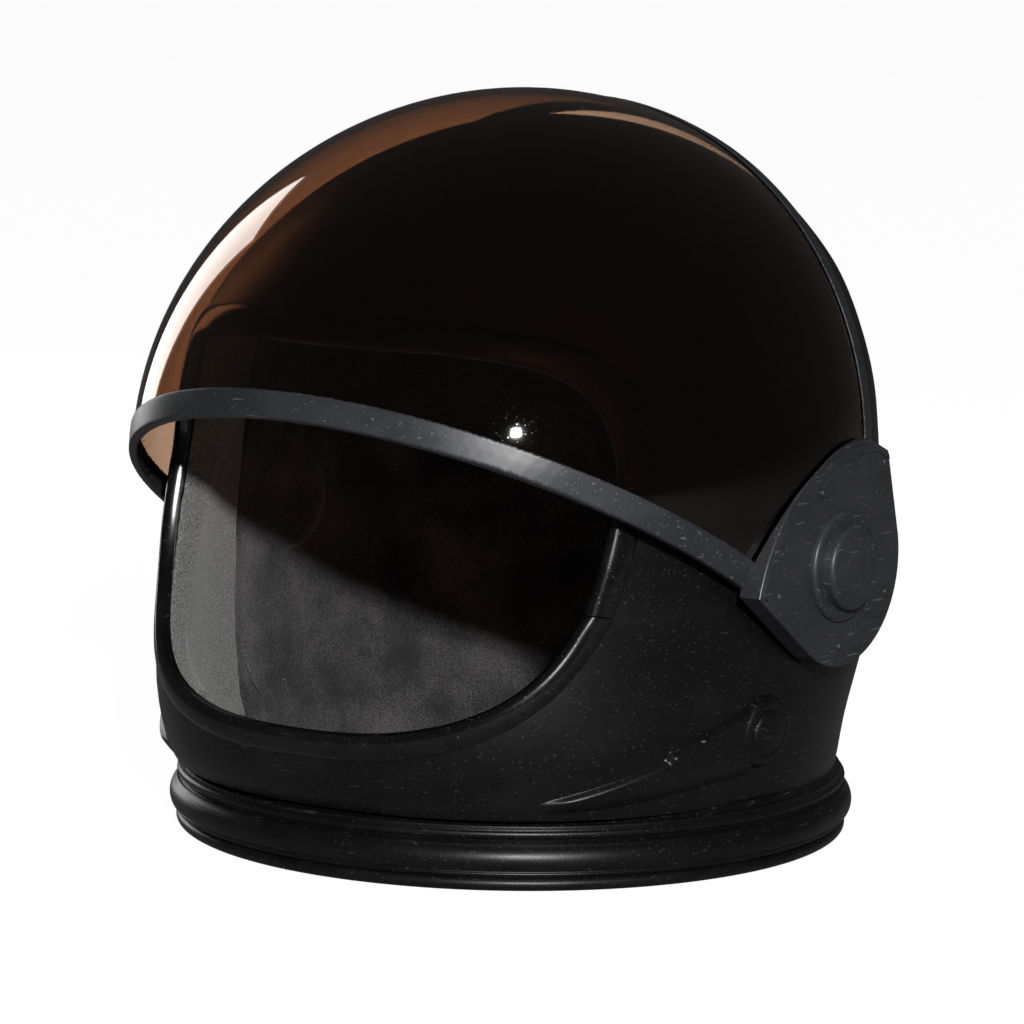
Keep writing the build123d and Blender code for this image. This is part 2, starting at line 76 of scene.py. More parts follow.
towards_camera = Vector((
    math.sin(CAMERA_TURN) * math.cos(CAMERA_RISE),
    -math.cos(CAMERA_TURN) * math.cos(CAMERA_RISE),
    math.sin(CAMERA_RISE),
))
level_right = Vector((math.cos(CAMERA_TURN), math.sin(CAMERA_TURN), 0))
level_up = towards_camera.cross(level_right)
picture_right = level_right * math.cos(CAMERA_ROLL) + level_up * math.sin(CAMERA_ROLL)
picture_up = level_up * math.cos(CAMERA_ROLL) - level_right * math.sin(CAMERA_ROLL)
bpy.ops.object.camera_add(location=CAMERA_TARGET + towards_camera * CAMERA_DISTANCE)
camera = bpy.context.object
camera.rotation_euler = (
    Matrix((picture_right, picture_up, towards_camera)).transposed().to_euler()
)
camera.data.lens = 165.98
camera.data.shift_x = -0.0029
camera.data.shift_y = -0.0409
bpy.context.scene.camera = camera
print("camera at", [round(value, 3) for value in camera.location])

# %% [markdown]
# ## Floor and surroundings
# The helmet stands on white. The floor is pale, and rays from the camera, also
# those that pass through the visor, see it brighter than the lamps make it, so
# it reads as white paper while the helmet's soft shadow stays. The world does
# the same above the horizon. Mirrored rays see the surroundings only dimly, as
# in the photograph, where the lamps alone draw the highlights on the black.

# %% Make the floor and the world
FLOOR_RADIUS = 20.0
FLOOR_GAP = 0.2 * MM
MIRRORED_SHARE = 0.04
DIM_SKY = 0.025

bpy.ops.mesh.primitive_circle_add(
    vertices=96, radius=FLOOR_RADIUS, fill_type="NGON", location=(0, 0, -FLOOR_GAP)
)
floor = bpy.context.object
floor.name = "floor"


def calculate(nodes, links, operation, first, second):
    """One sum on two sockets or numbers."""
    node = nodes.new("ShaderNodeMath")
    node.operation = operation
    for index, given in enumerate((first, second)):
        if isinstance(given, (int, float)):
            node.inputs[index].default_value = given
        else:
            links.new(given, node.inputs[index])
    return node.outputs[0]


def white_seen(nodes, links):
    """One where the camera looks, also through the visor, and a little when mirrored."""
    rays = nodes.new("ShaderNodeLightPath").outputs
    looked_at = calculate(
        nodes, links, "MAXIMUM", rays["Is Camera Ray"], rays["Is Transmission Ray"]
    )
    turns = calculate(nodes, links, "ADD", rays["Glossy Depth"], rays["Diffuse Depth"])
    straight = calculate(nodes, links, "LESS_THAN", turns, 0.5)
    direct = calculate(nodes, links, "MULTIPLY", looked_at, straight)
    mirrored = calculate(nodes, links, "MULTIPLY", rays["Is Glossy Ray"], MIRRORED_SHARE)
    return calculate(nodes, links, "MAXIMUM", direct, mirrored)


def make_floor_material():
    """White paper that keeps the helmet's shadow."""
    material = bpy.data.materials.new("white_paper")
    material.use_nodes = True
    nodes, links = material.node_tree.nodes, material.node_tree.links
    paper = nodes["Principled BSDF"]
    paper.inputs["Base Color"].default_value = (0.2, 0.2, 0.2, 1)
    paper.inputs["Roughness"].default_value = 0.9
    paper.inputs["Specular IOR Level"].default_value = 0.1
    paper.inputs["Emission Color"].default_value = (1, 1, 1, 1)
    lift = calculate(nodes, links, "MULTIPLY", white_seen(nodes, links), 0.96)
    links.new(lift, paper.inputs["Emission Strength"])
    return material


floor.data.materials.append(make_floor_material())

world = bpy.data.worlds.new("studio")
bpy.context.scene.world = world
world.use_nodes = True
world_nodes, world_links = world.node_tree.nodes, world.node_tree.links
sky = world_nodes["Background"]
sky.inputs["Color"].default_value = (1, 1, 1, 1)
sky_level = calculate(
    world_nodes, world_links, "MAXIMUM", white_seen(world_nodes, world_links), DIM_SKY
)
world_links.new(sky_level, sky.inputs["Strength"])
bpy.context.scene.view_settings.view_transform = "Standard"
print("floor radius", FLOOR_RADIUS, "m")

# %% [markdown]
# ## Lamps
# The picture says where its lamps stood. The visor's band throws a shadow with
# a narrow soft edge across the cheek pad and the liner, so the main lamp was
# small and stood to the camera's right and a little above it. A panel beside
# the wearer's right ear draws the pale crescent on the visor's far edge. Each
# lamp is placed by the direction that it comes from, turned to face the helmet
# and given the power that lights it at a plain level.

# %% Hang the lamps
LAMP_TARGET = Vector((0, 0, 160 * MM))


def hang_lamp(name, turn, rise, distance, width, height, level):
    """A lamp in one direction from the helmet, whose level 1 shows a colour as it is."""
    turn, rise = math.radians(turn), math.radians(rise)
    direction = Vector((
        math.sin(turn) * math.cos(rise),
        -math.cos(turn) * math.cos(rise),
        math.sin(rise),
    ))
    bpy.ops.object.light_add(type="AREA", location=LAMP_TARGET + direction * distance)
    lamp = bpy.context.object
    lamp.name = name
    lamp.rotation_euler = direction.to_track_quat("Z", "Y").to_euler()
    lamp.data.shape = "RECTANGLE"
    lamp.data.size = width
    lamp.data.size_y = height
    lamp.data.energy = level * (math.pi * distance) ** 2
    return lamp


hang_lamp("key_lamp", turn=42, rise=19.5, distance=2.4, width=0.1, height=0.1, level=1.0)
hang_lamp("side_panel", turn=-108, rise=12, distance=1.7, width=0.45, height=1.0, level=0.16)

# %% [markdown]
# ## Surface effects
# Several finishes share three effects: the fine grain of moulded plastic, the
# scuffs and dust that handling leaves, and patches where the gloss changes.
# On the foam the dust specks serve as painted glints.
# Each effect is a node group that gives out a mask or a normal. A material
# places the group with its own values and decides what the mask does, so the
# groups stay small and the plastics differ only in numbers.

# %% Build the shared effects


def new_group(name, inputs, outputs):
    """An empty node group with number inputs, given as name: default."""
    group = bpy.data.node_groups.new(name, "ShaderNodeTree")
    for label, value in inputs.items():
        socket = group.interface.new_socket(label, in_out="INPUT", socket_type="NodeSocketFloat")
        socket.default_value = value
    for label, kind in outputs.items():
        group.interface.new_socket(label, in_out="OUTPUT", socket_type=kind)
    entry = group.nodes.new("NodeGroupInput")
    leave = group.nodes.new("NodeGroupOutput")
    return group, entry, leave


def object_place(nodes):
    """Where a point lies in the helmet's own metres."""
    return nodes.new("ShaderNodeTexCoord").outputs["Object"]


def noise_at(nodes, links, place, scale, detail=2.0, roughness=0.5):
    """Noise whose scale is a number or a socket."""
    noise = nodes.new("ShaderNodeTexNoise")
    noise.inputs["Detail"].default_value = detail
    noise.inputs["Roughness"].default_value = roughness
    links.new(place, noise.inputs["Vector"])
    if isinstance(scale, (int, float)):
        noise.inputs["Scale"].default_value = scale
    else:
        links.new(scale, noise.inputs["Scale"])
    return noise.outputs["Fac"]


def step_between(nodes, links, value, low, high):
    """Nought below low, one above high, smooth in between."""
    ramp = nodes.new("ShaderNodeMapRange")
    ramp.interpolation_type = "SMOOTHSTEP"
    for socket, given in (("Value", value), ("From Min", low), ("From Max", high)):
        if isinstance(given, (int, float)):
            ramp.inputs[socket].default_value = given
        else:
            links.new(given, ramp.inputs[socket])
    return ramp.outputs["Result"]


def make_grain_group():
    """Fine moulded grain over slow waves, as a normal."""
    group, entry, leave = new_group(
        "moulded_grain",
        {"Grain Scale": 1400, "Grain Depth": 0.1, "Wave Scale": 18, "Wave Depth": 0.1},
        {"Normal": "NodeSocketVector"},
    )
    nodes, links = group.nodes, group.links
    place = object_place(nodes)
    waves = nodes.new("ShaderNodeBump")
    waves.inputs["Distance"].default_value = 2 * MM
    links.new(entry.outputs["Wave Depth"], waves.inputs["Strength"])
    links.new(noise_at(nodes, links, place, entry.outputs["Wave Scale"]), waves.inputs["Height"])
    grain = nodes.new("ShaderNodeBump")
    grain.inputs["Distance"].default_value = 0.15 * MM
    links.new(entry.outputs["Grain Depth"], grain.inputs["Strength"])
    links.new(noise_at(nodes, links, place, entry.outputs["Grain Scale"]), grain.inputs["Height"])
    links.new(waves.outputs["Normal"], grain.inputs["Normal"])
    links.new(grain.outputs["Normal"], leave.inputs["Normal"])
    return group


def make_scuff_dust_glint_group():
    """Fine scratches that run in two directions, and specks: dust on plastic, painted glint specks
    on foam.
    """
    group, entry, leave = new_group(
        "scuffs_dust_and_painted_glints",
        {"Scuff Share": 0.3, "Dust Share": 0.3, "Dust Scale": 500},
        {"Scuffs": "NodeSocketFloat", "Dust": "NodeSocketFloat"},
    )
    nodes, links = group.nodes, group.links
    place = object_place(nodes)
    patches = noise_at(nodes, links, place, 22.0, detail=4.0)
    strokes = []
    for turn, stretch in (((0.3, 0.9, 0.4), (40, 900, 900)), ((1.2, -0.5, 0.2), (900, 60, 900))):
        mapping = nodes.new("ShaderNodeMapping")
        mapping.inputs["Rotation"].default_value = turn
        mapping.inputs["Scale"].default_value = stretch
        links.new(place, mapping.inputs["Vector"])
        lines = noise_at(nodes, links, mapping.outputs["Vector"], 1.0, detail=1.0)
        strokes.append(step_between(nodes, links, lines, 0.68, 0.76))
    either = calculate(nodes, links, "MAXIMUM", strokes[0], strokes[1])
    worn = calculate(nodes, links, "ADD", patches, calculate(
        nodes, links, "MULTIPLY_ADD", entry.outputs["Scuff Share"], 0.5))
    worn_mask = step_between(nodes, links, worn, 0.62, 0.78)
    links.new(calculate(nodes, links, "MULTIPLY", either, worn_mask), leave.inputs["Scuffs"])
    specks = nodes.new("ShaderNodeTexVoronoi")
    links.new(place, specks.inputs["Vector"])
    links.new(entry.outputs["Dust Scale"], specks.inputs["Scale"])
    near = step_between(nodes, links, specks.outputs["Distance"], 0.22, 0.1)
    tones = nodes.new("ShaderNodeSeparateColor")
    links.new(specks.outputs["Color"], tones.inputs["Color"])
    rare = calculate(nodes, links, "LESS_THAN", tones.outputs["Red"], entry.outputs["Dust Share"])
    links.new(calculate(nodes, links, "MULTIPLY", near, rare), leave.inputs["Dust"])
    return group


def make_patch_group():
    """Smudges: soft patches where a surface is a little less glossy."""
    group, entry, leave = new_group(
        "smudges", {"Scale": 30, "Low": 0.45, "High": 0.7}, {"Mask": "NodeSocketFloat"}
    )
    nodes, links = group.nodes, group.links
    mapping = nodes.new("ShaderNodeMapping")
    mapping.inputs["Scale"].default_value = (1.0, 0.7, 1.6)
    mapping.inputs["Rotation"].default_value = (0.5, 0.3, 0.0)
    links.new(object_place(nodes), mapping.inputs["Vector"])
    cloud = noise_at(nodes, links, mapping.outputs["Vector"], entry.outputs["Scale"], 6.0, 0.6)
    links.new(
        step_between(nodes, links, cloud, entry.outputs["Low"], entry.outputs["High"]),
        leave.inputs["Mask"],
    )
    return group


grain_group = make_grain_group()
scuff_dust_glint_group = make_scuff_dust_glint_group()
smudge_group = make_patch_group()
print("effects:", [group.name for group in bpy.data.node_groups])

# %% [markdown]
# ## Plastics
# The shell and ring are satin black with a fine grain, a little dust and wide
# soft highlights. The trim is the same black but glossy. The bands and pods are
# a charcoal plastic with more scuffs. All three come from one recipe with its
# own numbers: a base colour that dust and scuffs lighten, and a roughness that
# smudges and scuffs raise.

# %% Make the plastics


def place_group(material, group, **values):
    """A node group in a material, its inputs set by name."""
    node = material.node_tree.nodes.new("ShaderNodeGroup")
    node.node_tree = group
    for label, value in values.items():
        node.inputs[label.replace("_", " ").title()].default_value = value
    return node


def blend_colours(nodes, links, factor, first, second):
    """The first colour, turning into the second where the factor is one."""
    mix = nodes.new("ShaderNodeMix")
    mix.data_type = "RGBA"
    links.new(factor, mix.inputs["Factor"])
    for socket, given in ((mix.inputs[6], first), (mix.inputs[7], second)):
        if isinstance(given, tuple):
            socket.default_value = given + (1,)
        else:
            links.new(given, socket)
    return mix.outputs[2]


def make_plastic(
    name, colour, worn_colour, shine, roughness, worn_roughness, grain_depth, scuffs, dust
):
    """A moulded plastic with grain, scuffs, dust and smudges."""
    material = bpy.data.materials.new(name)
    material.use_nodes = True
    nodes, links = material.node_tree.nodes, material.node_tree.links
    plastic = nodes["Principled BSDF"]
    plastic.inputs["Specular IOR Level"].default_value = shine
    wear = place_group(
        material, scuff_dust_glint_group, scuff_share=scuffs, dust_share=dust, dust_scale=800.0
    )
    smudge = place_group(material, smudge_group, scale=26.0, low=0.42, high=0.68)
    grain = place_group(
        material, grain_group, grain_scale=1500.0, grain_depth=grain_depth, wave_depth=0.06
    )
    marks = calculate(nodes, links, "MAXIMUM", wear.outputs["Scuffs"], wear.outputs["Dust"])
    faint = calculate(nodes, links, "MULTIPLY", smudge.outputs["Mask"], 0.12)
    worn = calculate(nodes, links, "MAXIMUM", marks, faint)
    links.new(blend_colours(nodes, links, worn, colour, worn_colour), plastic.inputs["Base Color"])
    uneven = calculate(nodes, links, "MULTIPLY", smudge.outputs["Mask"], 0.45)
    dulled = calculate(nodes, links, "MAXIMUM", marks, uneven)
    level = nodes.new("ShaderNodeMapRange")
    level.inputs["To Min"].default_value = roughness
    level.inputs["To Max"].default_value = worn_roughness
    links.new(dulled, level.inputs["Value"])
    links.new(level.outputs["Result"], plastic.inputs["Roughness"])
    links.new(grain.outputs["Normal"], plastic.inputs["Normal"])
    return material


shell_plastic = make_plastic(
    "shell_plastic", (0.0042, 0.0038, 0.0038), (0.03, 0.028, 0.026), shine=0.3,
    roughness=0.34, worn_roughness=0.42, grain_depth=0.28, scuffs=0.0, dust=0.001,
)
trim_plastic = make_plastic(
    "trim_plastic", (0.0035, 0.0035, 0.0035), (0.03, 0.03, 0.03), shine=0.5,
    roughness=0.15, worn_roughness=0.28, grain_depth=0.03, scuffs=0.0, dust=0.002,
)
band_plastic = make_plastic(
    "band_plastic", (0.026, 0.027, 0.031), (0.11, 0.11, 0.12), shine=0.4,
    roughness=0.34, worn_roughness=0.5, grain_depth=0.06, scuffs=0.06, dust=0.002,
)
print("plastics:", shell_plastic.name, trim_plastic.name, band_plastic.name)

# %% [markdown]
# ## Smoked visor plastic
# The visor is clear plastic dyed brown. Light is tinted where it goes in and
# where it comes out, so one wall dims what is behind it and two walls together
# look deep brown. Fingerprints and fine scratches show only in its reflection,
# which is why they change the roughness and not the tint.

# %% Make the visor plastic


def make_visor_plastic():
    """Clear brown plastic with smudges and hairline scratches."""
    material = bpy.data.materials.new("smoked_visor")
    material.use_nodes = True
    nodes, links = material.node_tree.nodes, material.node_tree.links
    clear = nodes["Principled BSDF"]
    clear.inputs["Base Color"].default_value = (0.47, 0.28, 0.18, 1)
    clear.inputs["Transmission Weight"].default_value = 1.0
    clear.inputs["IOR"].default_value = 1.49
    smudge = place_group(material, smudge_group, scale=14.0, low=0.5, high=0.75)
    wear = place_group(material, scuff_dust_glint_group, scuff_share=0.1, dust_share=0.006, dust_scale=500.0)
    haze = calculate(nodes, links, "MULTIPLY", smudge.outputs["Mask"], 0.02)
    marks = calculate(nodes, links, "MAXIMUM", wear.outputs["Scuffs"], wear.outputs["Dust"])
    roughness = calculate(nodes, links, "ADD", haze, 0.02)
    worn = calculate(nodes, links, "MAXIMUM", roughness, calculate(
        nodes, links, "MULTIPLY", marks, 0.08))
    links.new(worn, clear.inputs["Roughness"])
    return material


smoked_visor = make_visor_plastic()
print("clear:", smoked_visor.name)

# %% [markdown]
# ## Foam, plush and metal
# The cheek pads are grey open foam, with painted shade in its pores and bright
# specks painted where its cut cells glint. The liner is black short-pile plush,
# which shows as a faint sheen at grazing angles; its colour also holds painted
# shade in the pile's hollows and a painted sheen where the pile leans. The
# washers are natural nylon and the fasteners are zinc-plated steel, and both
# show only when the helmet is seen from inside.

# %% Make the soft finishes and the metals


def make_foam():
    """Grey open foam: painted shade in its pores, and bright specks painted where cut cells glint.
    """
    material = bpy.data.materials.new("grey_foam")
    material.use_nodes = True
    nodes, links = material.node_tree.nodes, material.node_tree.links
    foam = nodes["Principled BSDF"]
    foam.inputs["Roughness"].default_value = 0.85
    foam.inputs["Sheen Weight"].default_value = 0.25
    foam.inputs["Sheen Roughness"].default_value = 0.5
    place = object_place(nodes)
    pores = noise_at(nodes, links, place, 1700.0, detail=2.0, roughness=0.7)
    # Darker where the pore bump is low: painted shade in the pores.
    painted_lightness = step_between(nodes, links, pores, 0.36, 0.66)
    pore_shaded_grey = blend_colours(nodes, links, painted_lightness, (0.045, 0.045, 0.043), (0.26, 0.26, 0.25))
    # The group's dust specks, made near white here, are painted glints of the cut cells.
    painted_glints = place_group(material, scuff_dust_glint_group, scuff_share=0.0, dust_share=0.22, dust_scale=1300.0)
    colour = blend_colours(nodes, links, painted_glints.outputs["Dust"], pore_shaded_grey, (0.95, 0.95, 0.92))
    links.new(colour, foam.inputs["Base Color"])
    bump = nodes.new("ShaderNodeBump")
    bump.inputs["Strength"].default_value = 0.8
    bump.inputs["Distance"].default_value = 0.4 * MM
    links.new(pores, bump.inputs["Height"])
    links.new(bump.outputs["Normal"], foam.inputs["Normal"])
    return material


def make_plush():
    """Black plush: darker where its pile bump is low, which is painted shade, and lighter in
    patches where the pile leans, which is a painted sheen.
    """
    material = bpy.data.materials.new("black_plush")
    material.use_nodes = True
    nodes, links = material.node_tree.nodes, material.node_tree.links
    plush = nodes["Principled BSDF"]
    plush.inputs["Roughness"].default_value = 0.9
    plush.inputs["Sheen Weight"].default_value = 0.35
    plush.inputs["Sheen Roughness"].default_value = 0.35
    place = object_place(nodes)
    pile = noise_at(nodes, links, place, 1300.0, detail=2.0)
    lean = noise_at(nodes, links, place, 35.0, detail=3.0)
    # Darker where the pile bump is low and lighter where the pile leans: painted shade and painted
    # sheen in the colour.
    shade = calculate(nodes, links, "MULTIPLY", pile, lean)
    painted_lightness = step_between(nodes, links, shade, 0.12, 0.4)
    colour = blend_colours(nodes, links, painted_lightness, (0.012, 0.012, 0.012), (0.085, 0.08, 0.082))
    links.new(colour, plush.inputs["Base Color"])
    bump = nodes.new("ShaderNodeBump")
    bump.inputs["Strength"].default_value = 0.7
    bump.inputs["Distance"].default_value = 0.8 * MM
    links.new(pile, bump.inputs["Height"])
    links.new(bump.outputs["Normal"], plush.inputs["Normal"])
    return material


def make_metal(name, colour, roughness, metallic):
    """A plain turned metal or nylon with fine tool marks."""
    material = bpy.data.materials.new(name)
    material.use_nodes = True
    nodes, links = material.node_tree.nodes, material.node_tree.links
    metal = nodes["Principled BSDF"]
    metal.inputs["Metallic"].default_value = metallic
    smudge = place_group(material, smudge_group, scale=120.0, low=0.35, high=0.7)
    level = nodes.new("ShaderNodeMapRange")
    level.inputs["To Min"].default_value = roughness
    level.inputs["To Max"].default_value = roughness * 1.6
    links.new(smudge.outputs["Mask"], level.inputs["Value"])
    links.new(level.outputs["Result"], metal.inputs["Roughness"])
    dull = tuple(0.7 * share for share in colour)
    mottled = blend_colours(nodes, links, smudge.outputs["Mask"], colour, dull)
    links.new(mottled, metal.inputs["Base Color"])
    grain = place_group(material, grain_group, grain_scale=1800.0, grain_depth=0.05, wave_depth=0.0)
    links.new(grain.outputs["Normal"], metal.inputs["Normal"])
    return material


grey_foam = make_foam()
black_plush = make_plush()
washer_nylon = make_metal("washer_nylon", (0.6, 0.58, 0.52), 0.45, 0.0)
steel = make_metal("steel", (0.55, 0.55, 0.56), 0.28, 1.0)
print("materials:", len(bpy.data.materials))

# %% [markdown]
# ## Finish the CAD pieces
# The hard pieces keep their CAD shape. Each takes the finish that the record
# names for it, so its material slot is filled from one table of finishes.

# %% Give every CAD piece its finish
FINISHES = {
    "shell_plastic": shell_plastic,
    "trim_plastic": trim_plastic,
    "grey_foam": grey_foam,
    "black_plush": black_plush,
    "smoked_visor": smoked_visor,
    "band_plastic": band_plastic,
    "washer_nylon": washer_nylon,
    "steel": steel,
}


def finish_piece(piece, slot_name):
    """Fill a piece's only material slot."""
    piece.data.materials.clear()
    piece.data.materials.append(FINISHES[slot_name])


for row in frame["record"]["subparts"]:
    finish_piece(frame["nodes"][row["node"]], row["material_slot"])

# %% [markdown]
# ## The visor
# The real visor is a bubble blown from flat sheet, so its curve is one smooth
# swell with no flat facets. A mesh made from the CAD surface would show small
# ripples in the reflections. A sphere stretched to three half sizes is smooth
# everywhere, and its poles are turned to the ears, where the pods cover them.
# Three cuts trim the rims, a wall is added inwards, and one long round cutter
# opens both ears for the pods.

# %% Model the visor
PIVOT = Vector((0, 12 * MM, 124 * MM))
VISOR_CENTRE = Vector((0, -7 * MM, 161.2 * MM))
VISOR_HALF_SIZES = (155 * MM, 163.5 * MM, 147.5 * MM)
VISOR_TILT = math.radians(24.5)
VISOR_WALL = 2 * MM
RIM_SEAT = 1.2 * MM
LOWER_RIM = (math.radians(29.5), -31 * MM + RIM_SEAT)
REAR_RIM = (math.radians(93), 36.5 * MM - RIM_SEAT)
HEEL = (math.radians(155), 24 * MM)
EAR_OPENING = 39.5 * MM


def deselect_all():
    """Start a piece with nothing selected."""
    if bpy.context.object and bpy.context.object.mode != "OBJECT":
        bpy.ops.object.mode_set(mode="OBJECT")
    bpy.ops.object.select_all(action="DESELECT")


def apply_place(piece):
    """Move the object's place, turn and size into its mesh."""
    deselect_all()
    piece.select_set(True)
    bpy.context.view_layer.objects.active = piece
    bpy.ops.object.transform_apply(location=True, rotation=True, scale=True)


def apply_modifier(piece, kind, **settings):
    """Add one modifier, set it and apply it."""
    deselect_all()
    piece.select_set(True)
    bpy.context.view_layer.objects.active = piece
    modifier = piece.modifiers.new(kind.lower(), kind)
    for label, value in settings.items():
        setattr(modifier, label, value)
    bpy.ops.object.modifier_apply(modifier=modifier.name)


def cut_along(piece, rim, keep_above):
    """Cut a mesh by a plane along X, given as a tilt and a distance from the pivot."""
    tilt, distance = rim
    normal = Vector((0, math.sin(tilt), math.cos(tilt)))
    deselect_all()
    bpy.context.view_layer.objects.active = piece
    bpy.ops.object.mode_set(mode="EDIT")
    bpy.ops.mesh.select_all(action="SELECT")
    bpy.ops.mesh.bisect(
        plane_co=PIVOT + normal * distance,
        plane_no=normal,
        clear_inner=keep_above,
        clear_outer=not keep_above,
    )
    bpy.ops.object.mode_set(mode="OBJECT")


deselect_all()
bpy.ops.mesh.primitive_uv_sphere_add(
    segments=160, ring_count=96, radius=1, rotation=(0, math.radians(90), 0)
)
visor = bpy.context.object
visor.name = "visor_bubble"
apply_place(visor)
visor.scale = VISOR_HALF_SIZES
apply_place(visor)
visor.rotation_euler = (VISOR_TILT, 0, 0)
visor.location = VISOR_CENTRE
apply_place(visor)
cut_along(visor, LOWER_RIM, keep_above=True)
cut_along(visor, REAR_RIM, keep_above=False)
cut_along(visor, HEEL, keep_above=False)
apply_modifier(visor, "SOLIDIFY", thickness=VISOR_WALL, offset=-1.0)

deselect_all()
bpy.ops.mesh.primitive_cylinder_add(
    vertices=96,
    radius=EAR_OPENING,
    depth=400 * MM,
    location=PIVOT + Vector((0, 3 * MM, 0)),
    rotation=(0, math.radians(90), 0),
)
ear_cutter = bpy.context.object
apply_place(ear_cutter)
apply_modifier(visor, "BOOLEAN", object=ear_cutter, operation="DIFFERENCE", solver="EXACT")
bpy.data.objects.remove(ear_cutter)
deselect_all()
visor.select_set(True)
bpy.context.view_layer.objects.active = visor
bpy.ops.object.shade_smooth_by_angle(angle=math.radians(30))
finish_piece(visor, "smoked_visor")
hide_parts("visor")
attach(visor, "visor")
print("visor faces:", len(visor.data.polygons))

# %% [markdown]
# ## The face trim
# The trim is a soft black bead clipped round the opening, with its two ends
# butted together on the wearer's left. The line of light along it is what
# shows its roundness, so its section has to be a clean curve all the way
# round. The bead changes width as it goes, which a bevelled curve can't follow.
# Instead its inner and outer edges are measured on the CAD trim by rays from
# the front, and one rounded section is laid between each pair of points.

# %% Measure the trim's edges
OPENING_CENTRE = Vector((0, 0, 138.5 * MM))
TRIM_SECTIONS = 240
TRIM_JOINT = math.radians(-13.0)
STRAIGHT_BACK = Vector((0, 1, 0))
EDGE_MARGIN = 0.3 * MM
BESIDE_JOINT = 2


def surface_of(node):
    """A CAD node's surface, ready for rays."""
    mesh = frame["nodes"][node].data
    return BVHTree.FromPolygons(
        [vertex.co.copy() for vertex in mesh.vertices],
        [tuple(face.vertices) for face in mesh.polygons],
    )


def front_at(surface, direction, radius):
    """Where a ray from the front meets the surface, at a radius from the middle."""
    start = OPENING_CENTRE + direction * radius - STRAIGHT_BACK * 300 * MM
    return surface.ray_cast(start, STRAIGHT_BACK)[0]


def edge_between(surface, direction, missing, meeting):
    """The front's edge, between a radius that misses the surface and one that meets it."""
    inwards = math.copysign(EDGE_MARGIN, meeting - missing)
    for _ in range(14):
        radius = (missing + meeting) / 2
        if front_at(surface, direction, radius) is None:
            missing = radius
        else:
            meeting = radius
    near = front_at(surface, direction, meeting + inwards)
    far = front_at(surface, direction, meeting + 3 * inwards)
    return near + (near - far) / 2


def trim_edges(surface, angle):
    """The inner and the outer edge of the trim's front in one direction."""
    direction = Vector((math.cos(angle), 0, math.sin(angle)))
    met = [
        step * MM for step in range(60, 140)
        if front_at(surface, direction, step * MM) is not None
    ]
    inner = edge_between(surface, direction, met[0] - MM, met[0])
    outer = edge_between(surface, direction, met[-1] + MM, met[-1])
    return inner, outer


def evened(points):
    """Each point averaged with its neighbours, and the two ends left."""
    middle = [
        (before + 2 * point + after) / 4
        for before, point, after in zip(points, points[1:], points[2:])
    ]
    return points[:1] + middle + points[-1:]


trim_surface = surface_of("face_trim")
trim_spacing = 2 * math.pi / TRIM_SECTIONS
edges = [
    trim_edges(trim_surface, TRIM_JOINT + (index + 0.5) * trim_spacing)
    for index in range(TRIM_SECTIONS)
]
edges = edges[BESIDE_JOINT:-BESIDE_JOINT]
for _ in range(2):
    edges = list(zip(evened([pair[0] for pair in edges]), evened([pair[1] for pair in edges])))
widths = [(outer - inner).length / MM for inner, outer in edges]
print("trim width from", round(min(widths), 1), "to", round(max(widths), 1), "mm")

# %% Lay the rounded section along the edges
BEAD_FULLNESS = 2.3
BEAD_FOOT = -3.0 * MM
BEAD_RISE = 3.3 * MM
BEAD_BACK = -6.2 * MM
BEAD_CORNER = -4.6 * MM
END_REACH = 2.42
SLOPE_SPAN = 3


def bead_section():
    """Points of the section as a share across and a height over the CAD front."""
    points = []
    for step in range(21):
        turn = math.pi * step / 20
        side = math.copysign(abs(math.cos(turn)) ** (2 / BEAD_FULLNESS), math.cos(turn))
        rise = BEAD_RISE * math.sin(turn) ** (2 / BEAD_FULLNESS)
        points.append((0.5 - 0.5 * side, BEAD_FOOT + rise))
    points += [(1.0, BEAD_CORNER), (0.97, BEAD_BACK), (0.5, BEAD_BACK)]
    points += [(0.03, BEAD_BACK), (0.0, BEAD_CORNER)]
    return points


def lengthen(last, earlier):
    """The end section beside the joint, along the line of two measured ones."""
    return tuple(a + (a - b) / SLOPE_SPAN * END_REACH for a, b in zip(last, earlier))


stations = [
    lengthen(edges[0], edges[SLOPE_SPAN]),
    *edges,
    lengthen(edges[-1], edges[-1 - SLOPE_SPAN]),
]
mesh = bmesh.new()
rows = []
for index, (inner, outer) in enumerate(stations):
    before = stations[max(index - 1, 0)]
    after = stations[min(index + 1, len(stations) - 1)]
    along = (after[0] + after[1] - before[0] - before[1]).normalized()
    across = outer - inner
    outwards = across.cross(along).normalized()
    if outwards.dot((inner + outer) / 2 - OPENING_CENTRE) < 0:
        outwards.negate()
    rows.append([
        mesh.verts.new(inner + across * share + outwards * height)
        for share, height in bead_section()
    ])
section_size = len(rows[0])
for row, following in zip(rows, rows[1:]):
    for index in range(section_size):
        other = (index + 1) % section_size
        mesh.faces.new((row[index], row[other], following[other], following[index]))
mesh.faces.new(rows[0])
mesh.faces.new(reversed(rows[-1]))
bmesh.ops.recalc_face_normals(mesh, faces=mesh.faces)
trim_mesh = bpy.data.meshes.new("trim_bead")
mesh.to_mesh(trim_mesh)
mesh.free()
trim = bpy.data.objects.new("trim_bead", trim_mesh)
bpy.context.scene.collection.objects.link(trim)


def smooth_up_to(piece, degrees):
    """Smooth shading, with creases kept where faces meet at more than an angle."""
    deselect_all()
    piece.select_set(True)
    bpy.context.view_layer.objects.active = piece
    bpy.ops.object.shade_smooth_by_angle(angle=math.radians(degrees))


def take_place(piece, node, body):
    """Show the piece for its CAD node, with the node's finish."""
    rows = {row["node"]: row["material_slot"] for row in frame["record"]["subparts"]}
    finish_piece(piece, rows[node])
    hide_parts(node)
    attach(piece, body)
    print(piece.name, "faces:", len(piece.data.polygons))


